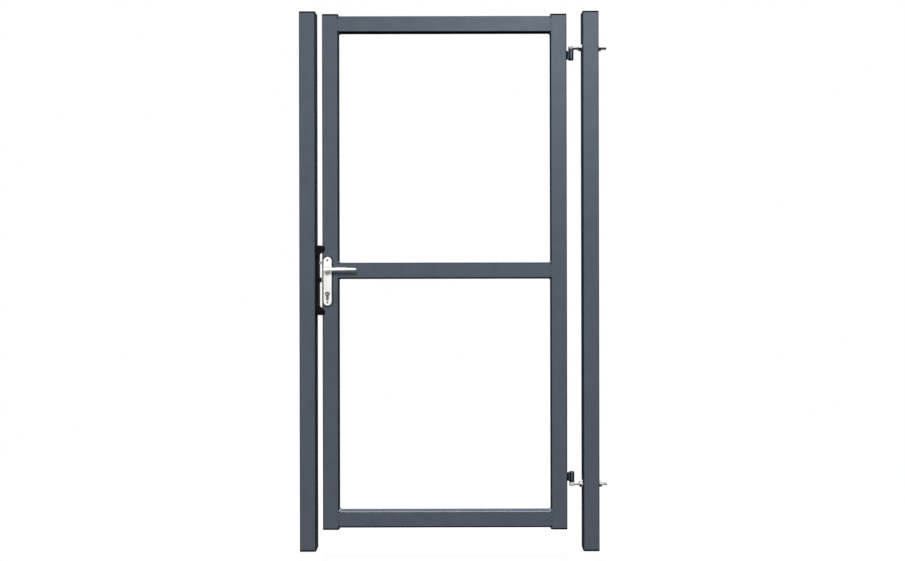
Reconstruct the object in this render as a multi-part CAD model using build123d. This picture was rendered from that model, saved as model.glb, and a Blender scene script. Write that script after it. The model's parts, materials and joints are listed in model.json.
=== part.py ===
"""Wicket gate: two planted posts, a welded tube leaf on adjustable eye-bolt hinges, and a lock with its keep.

Millimetres. The origin is the middle of the hinge post's foot. +X runs from the lock post to the hinge
post, +Y points away from the viewer in front, and +Z is up.
"""
import os

from build123d import *

os.makedirs("parts", exist_ok=True)

# Posts and the opening between them
post_height = 2000.0
post_size = 60.0
post_wall = 2.0
clear_opening = 990.0

# Leaf frame, with its gaps to the posts
leaf_bottom = 77.0
leaf_drop = 8.0
lock_gap = 24.0
hinge_gap = 58.0
leaf_face = 60.0
leaf_depth = 40.0
leaf_wall = 2.0
rail_inset = 8.0
middle_rail_height = 1038.0

# Tube corners, end caps and welds
tube_corner = 4.0
cap_flange = 4.0
cap_skirt = 16.0
cap_skirt_wall = 2.0
cap_edge_radius = 2.0
cap_fit = 0.2
weld_leg = 4.0

# Eye-bolt hinges: the lower eye is under its barrel and the upper one over it, so the leaf stays on
lower_rod_height = 243.0
upper_rod_drop = 133.0
pin_offset = 18.0
pin_diameter = 10.0
pin_overrun = 2.0
pin_fit = 0.05
pin_tip_chamfer = 1.0
rod_diameter = 14.0
rod_tail = 32.0
rod_hole_gap = 0.5
thread_fit = 0.05
eye_diameter = 20.0
hinge_play = 0.3
barrel_diameter = 20.0
barrel_height = 38.0
tab_thickness = 8.0
tab_step = 3.0
nut_across = 22.0
nut_thickness = 10.0
washer_diameter = 28.0
washer_thickness = 2.0

# Keep on the lock post, with a stop at each end that the leaf's front closes on
keep_height = 258.0
keep_centre_drop = 42.0
keep_clearance = 13.0
keep_rear = 20.0
keep_ramp = 7.0
keep_recess = 8.0
keep_recess_slope = 15.0
stop_height = 35.0
stop_overlap = 9.0
stop_thickness = 9.5
stop_gap = 0.5
stop_root = 4.0
stop_flank = 11.0
stop_root_radius = 5.0
stop_nose_radius = 9.0
keep_screw_diameter = 6.0
keep_screw_head = 11.0
keep_screw_head_thickness = 3.0
keep_screw_recess = 6.0
keep_screw_grip = 12.0

# Lock in the lock stile
handle_height = 1046.0
backset = 20.0
cylinder_drop = 92.0
case_depth = 46.0
case_thickness = 20.0
case_wall = 1.5
case_above_handle = 45.0
case_below_cylinder = 33.0
case_fit = 0.5
faceplate_thickness = 3.0
faceplate_width = 24.0
faceplate_end = 20.0
slide_fit = 0.1
small_screw_diameter = 5.0
small_screw_head = 8.0
small_screw_head_depth = 2.0
screw_fit = 0.1
faceplate_screw_length = 14.0

# Latch bolt, worked by the follower's arm
latch_rise = 22.0
latch_height = 12.0
latch_width = 14.0
latch_projection = 15.0
latch_nose = 6.0
latch_head_tail = 6.0
latch_shank_height = 8.0
latch_shank_width = 6.0
latch_lug_drop = 6.0
latch_lug_length = 4.0
latch_pocket_gap = 2.0
latch_pocket_depth = 7.0
follower_diameter = 18.0
follower_journal = 14.0
follower_arm_clear = 1.0
follower_arm_width = 6.0
follower_arm_gap = 1.0
spring_thickness = 0.8
spring_width = 5.0
spring_bend = 2.5
spring_seat_gap = 0.3

# Deadbolt, worked by the cylinder's cam
deadbolt_drop = 42.0
deadbolt_height = 10.0
deadbolt_width = 10.0
deadbolt_length = 38.0
deadbolt_proud = 2.0
deadbolt_throw = 14.0
deadbolt_pocket_gap = 2.0
strike_wall = 1.2
deadbolt_nose_gap = 0.8
deadbolt_tail_start = 18.0
deadbolt_tail_length = 16.0
deadbolt_tail_thickness = 4.0

# Profile cylinder
cylinder_head = 17.0
cylinder_foot_width = 10.0
cylinder_profile_height = 33.0
cylinder_proud = 2.0
cylinder_cutout_gap = 0.3
plug_diameter = 13.0
plug_fit = 0.05
keyway_width = 2.2
keyway_height = 8.5
keyway_depth = 24.0
cam_reach = 15.3
cam_width = 9.0
cam_nose_width = 7.0
cam_side_gap = 0.5
cam_tip_gap = 0.7

# Lever handles on long backplates
plate_width = 32.0
plate_thickness = 8.0
plate_end = 45.0
plate_screw_inset = 13.0
plate_screw_length = 16.0
plate_edge_radius = 4.5
lever_length = 112.0
lever_root_height = 16.0
lever_tip_height = 7.0
lever_root_depth = 14.0
lever_tip_depth = 10.0
lever_stand = 58.0
lever_edge_radius = 2.0
lever_tip_radius = 1.5
neck_diameter = 22.0
neck_gap = 0.3
neck_end_radius = 5.0
spindle_side = 8.0
spindle_length = 104.0
spindle_fit = 0.1
spindle_hole = 16.0
grub_diameter = 5.0
grub_stand = 16.0

# Places that follow from the sizes above
lock_post_x = -(clear_opening + post_size)
lock_post_face = lock_post_x + post_size / 2
hinge_post_face = -post_size / 2
leaf_left = lock_post_face + lock_gap
leaf_right = hinge_post_face - hinge_gap
leaf_top = post_height - leaf_drop
lock_stile_x = leaf_left + leaf_face / 2
hinge_stile_x = leaf_right - leaf_face / 2
rail_left = leaf_left + leaf_face
rail_right = leaf_right - leaf_face
top_rail_z = leaf_top - rail_inset - leaf_face / 2
bottom_rail_z = leaf_bottom + rail_inset + leaf_face / 2
front_face = -leaf_depth / 2
upper_rod_height = post_height - upper_rod_drop
eye_height = rod_diameter
pin_x = leaf_right + pin_offset
lock_x = leaf_left + backset
cylinder_z = handle_height - cylinder_drop
latch_z = handle_height + latch_rise
deadbolt_z = handle_height - deadbolt_drop
case_top = handle_height + case_above_handle
case_bottom = cylinder_z - case_below_cylinder
faceplate_outer = leaf_left - faceplate_thickness
keep_centre_height = handle_height - keep_centre_drop
keep_thickness = lock_gap - keep_clearance
keep_face = lock_post_face + keep_thickness
stop_reach = lock_gap + stop_overlap
keep_front = front_face - stop_gap - stop_thickness


def block(x0, x1, y0, y1, z0, z1):
    """A box between two corners."""
    middle = Pos((x0 + x1) / 2, (y0 + y1) / 2, (z0 + z1) / 2)
    return middle * Box(abs(x1 - x0), abs(y1 - y0), abs(z1 - z0))


def rod_x(x0, x1, y, z, diameter):
    """A round bar along X."""
    return Pos((x0 + x1) / 2, y, z) * Rot(0, 90, 0) * Cylinder(diameter / 2, abs(x1 - x0))


def rod_y(x, y0, y1, z, diameter):
    """A round bar along Y."""
    return Pos(x, (y0 + y1) / 2, z) * Rot(90, 0, 0) * Cylinder(diameter / 2, abs(y1 - y0))


def rod_z(x, y, z0, z1, diameter):
    """A round bar along Z."""
    return Pos(x, y, (z0 + z1) / 2) * Cylinder(diameter / 2, abs(z1 - z0))


def rounded_section(width, depth, radius):
    """A rectangle with rounded corners, or sharp ones where a thick wall leaves no radius."""
    if radius > 0:
        return RectangleRounded(width, depth, radius)
    return Rectangle(width, depth)


def tube(width, depth, wall, length):
    """An upright rolled tube with rounded corners, standing on its own origin."""
    outer = RectangleRounded(width, depth, tube_corner)
    inner = rounded_section(width - 2 * wall, depth - 2 * wall, tube_corner - wall)
    return extrude(outer - inner, length)


def end_cap(width, depth, wall):
    """A moulded plug-in cap, seated on the tube end at its origin with its skirt hanging down inside."""
    flange = extrude(RectangleRounded(width, depth, tube_corner), cap_flange)
    flange = fillet(flange.faces().sort_by(Axis.Z)[-1].edges(), cap_edge_radius)
    skirt_width = width - 2 * (wall + cap_fit)
    skirt_depth = depth - 2 * (wall + cap_fit)
    skirt = rounded_section(skirt_width, skirt_depth, tube_corner - wall)
    hollow = Rectangle(skirt_width - 2 * cap_skirt_wall, skirt_depth - 2 * cap_skirt_wall)
    return flange + extrude(skirt - hollow, -cap_skirt)


def upside_down(shape):
    """The same shape turned over about X."""
    return Rot(180, 0, 0) * shape


# Posts: plain square tube, with bolt holes at the hinges and screw holes behind the keep
def keep_screw_heights():
    """Heights of the keep's two screws: midway over the latch's pocket, and as far from the other end."""
    bottom, top = keep_span()
    pocket_top = latch_z + latch_height / 2 + latch_pocket_gap
    inset = (top - pocket_top) / 2
    return [bottom + inset, top - inset]


def make_lock_post():
    post = Pos(lock_post_x, 0, 0) * tube(post_size, post_size, post_wall, post_height - cap_flange)
    for height in keep_screw_heights():
        hole = keep_screw_diameter + 2 * screw_fit
        post -= rod_x(lock_post_x, lock_post_face + post_wall, 0, height, hole)
    return post


def make_hinge_post():
    post = tube(post_size, post_size, post_wall, post_height - cap_flange)
    for height in [lower_rod_height, upper_rod_height]:
        post -= rod_x(-post_size, post_size, 0, height, rod_diameter + 2 * rod_hole_gap)
    return post


def make_post_cap(x):
    return Pos(x, 0, post_height - cap_flange) * end_cap(post_size, post_size, post_wall)


# Keep: two bodies with the deadbolt's strike between them, and at each end a piece with a rounded stop
def keep_span():
    """Lower and upper end of the keep between its end pieces."""
    half = keep_height / 2 - stop_height
    return keep_centre_height - half, keep_centre_height + half


def strike_span():
    """Lower and upper end of the deadbolt's strike."""
    half = deadbolt_height / 2 + deadbolt_pocket_gap + strike_wall
    return deadbolt_z - half, deadbolt_z + half


def ramped(piece):
    """The same piece with its rear corner on the leaf's side cut back for the latch to ride on."""
    rear_corner = piece.edges().filter_by(Axis.Z).sort_by(Axis.Y)[-2:].sort_by(Axis.X)[-1]
    return chamfer(rear_corner, keep_ramp)


def make_keep_bar():
    """The keep from end piece to end piece, with its front sloping back behind the stops."""
    bottom, top = keep_span()
    bar = ramped(block(lock_post_face, keep_face, keep_front, keep_rear, bottom, top))
    front = Polyline(
        (keep_front, bottom),
        (keep_front + keep_recess, bottom + keep_recess_slope),
        (keep_front + keep_recess, top - keep_recess_slope),
        (keep_front, top),
        close=True,
    )
    post_plane = Plane(origin=(lock_post_face, 0, 0), x_dir=(0, 1, 0), z_dir=(1, 0, 0))
    bar -= extrude(post_plane * make_face(front), keep_thickness)
    for height in keep_screw_heights():
        shank_hole = keep_screw_diameter + 2 * screw_fit
        head_hole = keep_screw_head + 2 * screw_fit
        bar -= rod_x(lock_post_face, keep_face, 0, height, shank_hole)
        bar -= rod_x(keep_face - keep_screw_recess, keep_face, 0, height, head_hole)
    return bar


def make_keep_latch_body():
    top = keep_span()[1]
    strike_top = strike_span()[1]
    body = make_keep_bar() & block(lock_post_face, keep_face, keep_front, keep_rear, strike_top, top)
    latch_z_half = latch_height / 2 + latch_pocket_gap
    latch_y_half = latch_width / 2 + latch_pocket_gap
    latch_end = keep_face - latch_pocket_depth
    latch_floor = latch_z - latch_z_half
    latch_ceiling = latch_z + latch_z_half
    return body - block(latch_end, keep_face, -latch_y_half, latch_y_half, latch_floor, latch_ceiling)


def make_keep_lower_body():
    bottom = keep_span()[0]
    strike_bottom = strike_span()[0]
    return make_keep_bar() & block(lock_post_face, keep_face, keep_front, keep_rear, bottom, strike_bottom)


def make_deadbolt_strike():
    """A block that stands proud of both bodies, so that its pocket starts just before the deadbolt's nose."""
    bottom, top = strike_span()
    proud = keep_clearance - faceplate_thickness - deadbolt_proud - deadbolt_nose_gap
    face = keep_face + proud
    strike = ramped(block(lock_post_face, face, keep_front + keep_recess, keep_rear, bottom, top))
    half_y = deadbolt_width / 2 + deadbolt_pocket_gap
    pocket_floor = bottom + strike_wall
    return strike - block(face - deadbolt_throw, face, -half_y, half_y, pocket_floor, top - strike_wall)


def make_keep_stop(upper):
    """An end piece of the keep: a root in line with the body, and a D-shaped stop in front of the leaf."""
    inner_z = stop_root + stop_flank
    outline = Polyline(
        (0, 0),
        (keep_thickness, 0),
        (keep_thickness, stop_root),
        (stop_reach, inner_z),
        (stop_reach, stop_height),
        (0, stop_height),
        close=True,
    )
    face = make_face(outline)
    nose = face.vertices().sort_by(Axis.X)[-2:]
    face = fillet(nose, stop_nose_radius)
    inner_corner = face.vertices().sort_by_distance((keep_thickness, stop_root))[0]
    face = fillet(inner_corner, stop_root_radius)
    pad = extrude(Plane.XZ * face, stop_thickness)
    root = block(0, keep_thickness, 0, keep_rear - keep_front - stop_thickness, 0, stop_height)
    piece = pad + ramped(root)
    if not upper:
        piece = mirror(piece, Plane.XY)
    bottom, top = keep_span()
    seat = top if upper else bottom
    return Pos(lock_post_face, keep_front + stop_thickness, seat) * piece


def make_keep_screws():
    screws = []
    head_seat = keep_face - keep_screw_recess
    for height in keep_screw_heights():
        shank = rod_x(lock_post_face - post_wall - keep_screw_grip, head_seat, 0, height, keep_screw_diameter)
        head = rod_x(head_seat, head_seat + keep_screw_head_thickness, 0, height, keep_screw_head)
        screws.append(shank + head)
    return Compound(children=screws)


# Hinges: each eye bolt is clamped in the hinge post, and its eye turns on a pin in the leaf's barrel
def make_eye_bolt(height):
    eye = rod_z(pin_x, 0, height - eye_height / 2, height + eye_height / 2, eye_diameter)
    bolt = eye + rod_x(pin_x, post_size / 2 + rod_tail, 0, height, rod_diameter)
    return bolt - rod_z(pin_x, 0, height - eye_height, height + eye_height, pin_diameter + 2 * pin_fit)


def hinge_faces():
    """Post faces that the hinge washers lie on, with the direction away from the post."""
    return [(hinge_post_face, -1), (post_size / 2, 1)]


def make_hinge_nuts():
    nuts = []
    bore = rod_diameter / 2 + thread_fit
    hexagon = RegularPolygon(nut_across / 2, 6, major_radius=False) - Circle(bore)
    for height in [lower_rod_height, upper_rod_height]:
        for face, outward in hinge_faces():
            start = face + outward * washer_thickness
            seat = Plane(origin=(start, 0, height), x_dir=(0, 1, 0), z_dir=(outward, 0, 0))
            nuts.append(extrude(seat * hexagon, nut_thickness))
    return Compound(children=nuts)


def make_hinge_washers():
    washers = []
    for height in [lower_rod_height, upper_rod_height]:
        for face, outward in hinge_faces():
            end = face + outward * washer_thickness
            ring = rod_x(face, end, 0, height, washer_diameter)
            washers.append(ring - rod_x(face, end, 0, height, rod_diameter + 2 * rod_hole_gap))
    return Compound(children=washers)


def barrel_span(upper):
    """Lower and upper end of a hinge barrel."""
    if upper:
        top = upper_rod_height - eye_height / 2 - hinge_play
        return top - barrel_height, top
    bottom = lower_rod_height + eye_height / 2 + hinge_play
    return bottom, bottom + barrel_height


def make_hinge_barrel(upper):
    bottom, top = barrel_span(upper)
    sleeve = rod_z(pin_x, 0, bottom, top, barrel_diameter)
    tab = block(leaf_right, pin_x, -tab_thickness / 2, tab_thickness / 2, bottom + tab_step, top - tab_step)
    return sleeve + tab - rod_z(pin_x, 0, bottom, top, pin_diameter + 2 * pin_fit)


def make_hinge_pin(upper):
    bottom, top = barrel_span(upper)
    reach = hinge_play + eye_height + pin_overrun
    if upper:
        pin = rod_z(pin_x, 0, bottom, top + reach, pin_diameter)
        tip = pin.edges().sort_by(Axis.Z)[-1]
    else:
        pin = rod_z(pin_x, 0, bottom - reach, top, pin_diameter)
        tip = pin.edges().sort_by(Axis.Z)[0]
    return chamfer(tip, pin_tip_chamfer)


# Leaf frame: two stiles with three rails butt-welded between them
def case_outline(gap):
    """The lock case's block, grown by a gap on its edges, for the case and its mortise."""
    half = case_thickness / 2 + gap
    return block(leaf_left, leaf_left + case_depth, -half, half, case_bottom - gap, case_top + gap)


def cylinder_profile(gap):
    """The profile cylinder's round-footed section, grown by a gap, about the cylinder's axis."""
    radius = cylinder_head / 2 + gap
    foot = cylinder_profile_height - cylinder_head / 2
    foot_width = cylinder_foot_width + 2 * gap
    foot_centre = foot - cylinder_foot_width / 2
    leg = Pos(0, -foot_centre / 2) * Rectangle(foot_width, foot_centre)
    return Circle(radius) + leg + Pos(0, -foot_centre) * Circle(foot_width / 2)


def cylinder_bar(y0, y1, gap):
    """The profile cylinder's section carried from one depth to another."""
    seat = Plane(origin=(lock_x, y0, cylinder_z), x_dir=(-1, 0, 0), z_dir=(0, 1, 0))
    return extrude(seat * cylinder_profile(gap), y1 - y0)


def plate_screw_heights():
    """Heights of the two screws in each backplate."""
    return [cylinder_z - plate_end + plate_screw_inset, handle_height + plate_end - plate_screw_inset]


def faceplate_screw_heights():
    """Heights of the faceplate's two screws, past the ends of the lock case."""
    return [case_bottom - faceplate_end / 2, case_top + faceplate_end / 2]


def make_lock_stile():
    length = leaf_top - leaf_bottom - 2 * cap_flange
    place = Pos(lock_stile_x, 0, leaf_bottom + cap_flange)
    stile = place * tube(leaf_face, leaf_depth, leaf_wall, length)
    mortise = case_outline(case_fit)
    stile -= mortise
    stile -= rod_y(lock_x, -leaf_depth, leaf_depth, handle_height, spindle_hole)
    stile -= cylinder_bar(-leaf_depth, leaf_depth, cylinder_cutout_gap)
    for height in plate_screw_heights():
        stile -= rod_y(lock_x, -leaf_depth, leaf_depth, height, small_screw_diameter + 2 * screw_fit)
    for height in faceplate_screw_heights():
        hole = small_screw_diameter + 2 * screw_fit
        stile -= rod_x(leaf_left - leaf_wall, lock_x, 0, height, hole)
    return stile


def make_hinge_stile():
    length = leaf_top - leaf_bottom - 2 * cap_flange
    place = Pos(hinge_stile_x, 0, leaf_bottom + cap_flange)
    return place * tube(leaf_face, leaf_depth, leaf_wall, length)


def make_rail(height):
    rail = tube(leaf_face, leaf_depth, leaf_wall, rail_right - rail_left)
    return Pos(rail_left, 0, height) * Rot(0, 90, 0) * rail


def make_stile_cap(x, top):
    cap = end_cap(leaf_face, leaf_depth, leaf_wall)
    if top:
        return Pos(x, 0, leaf_top - cap_flange) * cap
    return Pos(x, 0, leaf_bottom + cap_flange) * upside_down(cap)


def hollow_corner(leg):
    """A square corner at the origin with a quarter circle taken out of it, like a fillet weld's section."""
    return Pos(leg / 2, leg / 2) * Rectangle(leg, leg) - Pos(leg, leg) * Circle(leg)


def make_frame_welds():
    """Fillet welds over and under each rail end, and ground welds in the grooves in front and behind."""
    beads = []
    fillet_run = leaf_depth - 2 * tube_corner
    groove_run = leaf_face - 2 * tube_corner
    for rail_z in [bottom_rail_z, middle_rail_height, top_rail_z]:
        for stile_face, inward in [(rail_left, 1), (rail_right, -1)]:
            for up in [1, -1]:
                corner = Plane(
                    origin=(stile_face, inward * up * fillet_run / 2, rail_z + up * leaf_face / 2),
                    x_dir=(inward, 0, 0),
                    z_dir=(0, -inward * up, 0),
                )
                beads.append(extrude(corner * hollow_corner(weld_leg), fillet_run))
            for back in [1, -1]:
                groove = Plane(
                    origin=(stile_face, back * leaf_depth / 2, rail_z - inward * back * groove_run / 2),
                    x_dir=(-inward, 0, 0),
                    z_dir=(0, 0, inward * back),
                )
                beads.append(extrude(groove * hollow_corner(tube_corner), groove_run))
    return Compound(children=beads)


# Lock: a case behind a faceplate, with the follower, latch, spring and deadbolt inside
def inner_case_half():
    """Half the room between the case's side walls."""
    return case_thickness / 2 - case_wall


def bolt_slot(z, height, width, x0, x1):
    """The slot that a bolt slides in."""
    half_y = width / 2 + slide_fit
    half_z = height / 2 + slide_fit
    return block(x0, x1, -half_y, half_y, z - half_z, z + half_z)


def make_lock_case():
    inner = inner_case_half()
    case = case_outline(0)
    cover_side = case_thickness / 2
    back = leaf_left + case_depth - case_wall
    room_floor = case_bottom + case_wall
    case -= block(leaf_left + case_wall, back, -inner, cover_side, room_floor, case_top - case_wall)
    case -= block(leaf_left, leaf_left + case_depth, inner, cover_side, case_bottom, case_top)
    case -= bolt_slot(latch_z, latch_height, latch_width, leaf_left, lock_x)
    case -= bolt_slot(deadbolt_z, deadbolt_height, deadbolt_width, leaf_left, lock_x)
    case -= rod_y(lock_x, -case_thickness, 0, handle_height, follower_journal + 2 * slide_fit)
    case -= cylinder_bar(-case_thickness, 0, cylinder_cutout_gap)
    case -= rod_x(leaf_left, lock_x, 0, fixing_screw_height(), small_screw_diameter + 2 * screw_fit)
    return case


def make_lock_case_cover():
    inner = inner_case_half()
    cover = block(leaf_left, leaf_left + case_depth, inner, case_thickness / 2, case_bottom, case_top)
    cover -= rod_y(lock_x, 0, case_thickness, handle_height, follower_journal + 2 * slide_fit)
    return cover - cylinder_bar(0, case_thickness, cylinder_cutout_gap)


def fixing_screw_height():
    """Height of the screw that holds the cylinder, in the middle of the bridge under its cam."""
    bridge_bottom = cylinder_z + cylinder_head / 2 - cylinder_profile_height
    bridge_top = cylinder_z - cam_reach - cam_tip_gap
    return (bridge_bottom + bridge_top) / 2


def make_faceplate():
    low = case_bottom - faceplate_end
    high = case_top + faceplate_end
    half = faceplate_width / 2
    plate = block(faceplate_outer, leaf_left, -half, half, low, high)
    plate = fillet(plate.edges().filter_by(Axis.X), tube_corner)
    plate -= bolt_slot(latch_z, latch_height, latch_width, faceplate_outer, leaf_left)
    plate -= bolt_slot(deadbolt_z, deadbolt_height, deadbolt_width, faceplate_outer, leaf_left)
    for height in faceplate_screw_heights() + [fixing_screw_height()]:
        plate -= rod_x(faceplate_outer, leaf_left, 0, height, small_screw_diameter + 2 * screw_fit)
        seat = faceplate_outer + small_screw_head_depth
        plate -= rod_x(faceplate_outer, seat, 0, height, small_screw_head + 2 * screw_fit)
    return plate


def face_screw(height, end):
    """A flush screw in the faceplate, reaching in to an end."""
    seat = faceplate_outer + small_screw_head_depth
    head = rod_x(faceplate_outer, seat, 0, height, small_screw_head)
    return head + rod_x(seat, end, 0, height, small_screw_diameter)


def make_faceplate_screws():
    end = leaf_left + faceplate_screw_length
    return Compound(children=[face_screw(height, end) for height in faceplate_screw_heights()])


def make_fixing_screw():
    return face_screw(fixing_screw_height(), lock_x + cylinder_foot_width / 2)


def latch_lug_front():
    """Where the latch's lug starts, just behind the follower's arm."""
    return lock_x + follower_arm_width / 2 + follower_arm_gap


def make_latch_bolt():
    nose = faceplate_outer - latch_projection
    head_end = leaf_left + latch_head_tail
    half = latch_width / 2
    head = block(nose, head_end, -half, half, latch_z - latch_height / 2, latch_z + latch_height / 2)
    bevel = Polyline(
        (faceplate_outer, -half), (nose, half - latch_nose), (nose, -half), (faceplate_outer, -half)
    )
    low = Plane(origin=(0, 0, latch_z - latch_height / 2))
    head -= extrude(low * make_face(bevel), latch_height)
    lug_front = latch_lug_front()
    lug_end = lug_front + latch_lug_length
    shank_y = latch_shank_width / 2
    shank_bottom = latch_z - latch_shank_height / 2
    shank = block(head_end, lug_end, -shank_y, shank_y, shank_bottom, latch_z + latch_shank_height / 2)
    lug = block(lug_front, lug_end, -shank_y, shank_y, shank_bottom - latch_lug_drop, shank_bottom)
    return head + shank + lug


def make_latch_spring():
    """A bent strip spring between the latch's end and the back wall of the case."""
    latch_end = latch_lug_front() + latch_lug_length + spring_seat_gap + spring_thickness / 2
    wall_end = leaf_left + case_depth - case_wall - spring_seat_gap - spring_thickness / 2
    top = case_top - case_wall - spring_seat_gap - spring_thickness / 2
    foot = latch_z - latch_shank_height / 2
    strip = FilletPolyline(
        (latch_end, foot),
        (latch_end, latch_z + latch_shank_height / 2),
        ((latch_end + wall_end) / 2, top),
        (wall_end, latch_z + latch_shank_height / 2),
        (wall_end, foot),
        radius=spring_bend,
    )
    section = trace(strip, spring_thickness)
    return extrude(Pos(0, spring_width / 2, 0) * (Plane.XZ * section), spring_width)


def make_follower():
    inner = inner_case_half() - slide_fit
    hub = rod_y(lock_x, -inner, inner, handle_height, follower_diameter)
    half = case_thickness / 2
    hub += rod_y(lock_x, -half, half, handle_height, follower_journal)
    arm_x = follower_arm_width / 2
    arm_y = latch_shank_width / 2
    arm_top = latch_z - latch_shank_height / 2 - follower_arm_clear
    hub += block(lock_x - arm_x, lock_x + arm_x, -arm_y, arm_y, handle_height, arm_top)
    return hub - spindle_bar(case_thickness, spindle_fit)


def spindle_bar(length, gap):
    """The square spindle, grown by a gap, centred in the leaf."""
    side = spindle_side + 2 * gap
    return Pos(lock_x, 0, handle_height) * Box(side, length, side)


def make_deadbolt():
    nose = faceplate_outer - deadbolt_proud
    half_y = deadbolt_width / 2
    half_z = deadbolt_height / 2
    bar = block(nose, nose + deadbolt_length, -half_y, half_y, deadbolt_z - half_z, deadbolt_z + half_z)
    tail_y = deadbolt_tail_thickness / 2
    tail_x = leaf_left + deadbolt_tail_start
    tail_bottom = cylinder_z + cam_reach + cam_tip_gap
    tail = block(tail_x, tail_x + deadbolt_tail_length, -tail_y, tail_y, tail_bottom, deadbolt_z)
    return bar + tail


# Profile cylinder: a body bridged under the cam, and a plug at each end
def cylinder_end():
    """Depth of the cylinder's end face, a little proud of the backplate."""
    return leaf_depth / 2 + plate_thickness + cylinder_proud


def make_cylinder_body():
    end = cylinder_end()
    body = cylinder_bar(-end, end, 0)
    slot = cam_width / 2 + cam_side_gap
    bridge = cylinder_z - cam_reach - cam_tip_gap
    slot_top = cylinder_z + cylinder_head
    body -= block(lock_x - cylinder_head, lock_x + cylinder_head, -slot, slot, bridge, slot_top)
    body -= rod_y(lock_x, -end, end, cylinder_z, plug_diameter + 2 * plug_fit)
    bore = small_screw_diameter + 2 * screw_fit
    return body - rod_x(lock_x - cylinder_head, lock_x + cylinder_head, 0, fixing_screw_height(), bore)


def make_plug(side):
    """A plug from the cam to one end of the cylinder, with its keyway; side is -1 in front and 1 behind."""
    end = side * cylinder_end()
    plug = rod_y(lock_x, side * cam_width / 2, end, cylinder_z, plug_diameter)
    keyway_x = keyway_width / 2
    keyway_z = keyway_height / 2
    floor = end - side * keyway_depth
    return plug - block(
        lock_x - keyway_x, lock_x + keyway_x, floor, end, cylinder_z - keyway_z, cylinder_z + keyway_z
    )


def make_cam():
    half = cam_width / 2
    ring = rod_y(lock_x, -half, half, cylinder_z, cylinder_head)
    nose_x = cam_nose_width / 2
    nose = block(lock_x - nose_x, lock_x + nose_x, -half, half, cylinder_z - cam_reach, cylinder_z)
    return ring + nose & rod_y(lock_x, -half, half, cylinder_z, 2 * cam_reach)


# Lever handles: an obround backplate and a tapered lever on each side of the leaf
def backplate_outline():
    """The backplate's obround, from over the handle to under the cylinder."""
    length = cylinder_drop + 2 * plate_end
    middle = (handle_height + cylinder_z) / 2
    seat = Plane(origin=(lock_x, front_face, middle), x_dir=(1, 0, 0), z_dir=(0, -1, 0))
    return seat * Rot(0, 0, 90) * SlotOverall(length, plate_width)


def make_front_backplate():
    plate = extrude(backplate_outline(), plate_thickness)
    plate = fillet(plate.faces().sort_by(Axis.Y)[0].edges(), plate_edge_radius)
    outside = front_face - plate_thickness
    plate -= rod_y(lock_x, outside, front_face, handle_height, neck_diameter + 2 * neck_gap)
    plate -= cylinder_bar(outside, front_face, cylinder_cutout_gap)
    seat = outside + small_screw_head_depth
    for height in plate_screw_heights():
        plate -= rod_y(lock_x, outside, front_face, height, small_screw_diameter + 2 * screw_fit)
        plate -= rod_y(lock_x, outside, seat, height, small_screw_head + 2 * screw_fit)
    return plate


def to_rear(shape):
    """The same piece on the other side of the leaf."""
    return mirror(shape, Plane.XZ)


def make_plate_screws():
    screws = []
    outside = front_face - plate_thickness
    seat = outside + small_screw_head_depth
    for height in plate_screw_heights():
        head = rod_y(lock_x, outside, seat, height, small_screw_head)
        screw = head + rod_y(lock_x, seat, outside + plate_screw_length, height, small_screw_diameter)
        screws += [screw, to_rear(screw)]
    return Compound(children=screws)


def lever_section(x, height, depth):
    """A rounded section across the lever arm, with its front edge on the lever's front."""
    front = front_face - lever_stand
    seat = Plane(origin=(x, front + depth / 2, handle_height), x_dir=(0, 1, 0), z_dir=(1, 0, 0))
    return seat * RectangleRounded(depth, height, lever_edge_radius)


def make_front_lever():
    front = front_face - lever_stand
    root = lever_section(lock_x, lever_root_height, lever_root_depth)
    tip = lever_section(lock_x + lever_length, lever_tip_height, lever_tip_depth)
    arm = loft([root, tip])
    arm = fillet(arm.faces().sort_by(Axis.X)[-1].edges(), lever_tip_radius)
    neck = rod_y(lock_x, front, front_face - neck_gap, handle_height, neck_diameter)
    neck = fillet(neck.edges().sort_by(Axis.Y)[0], neck_end_radius)
    lever = neck + arm
    lever -= spindle_bar(spindle_length, spindle_fit)
    grub_y = front_face - grub_stand
    grub_hole = grub_diameter + 2 * screw_fit
    return lever - rod_z(lock_x, grub_y, handle_height - neck_diameter, handle_height, grub_hole)


def make_grub_screws():
    top = handle_height - spindle_side / 2
    bottom = handle_height - neck_diameter / 2 + neck_gap
    screw = rod_z(lock_x, front_face - grub_stand, bottom, top, grub_diameter)
    return Compound(children=[screw, to_rear(screw)])


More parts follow.
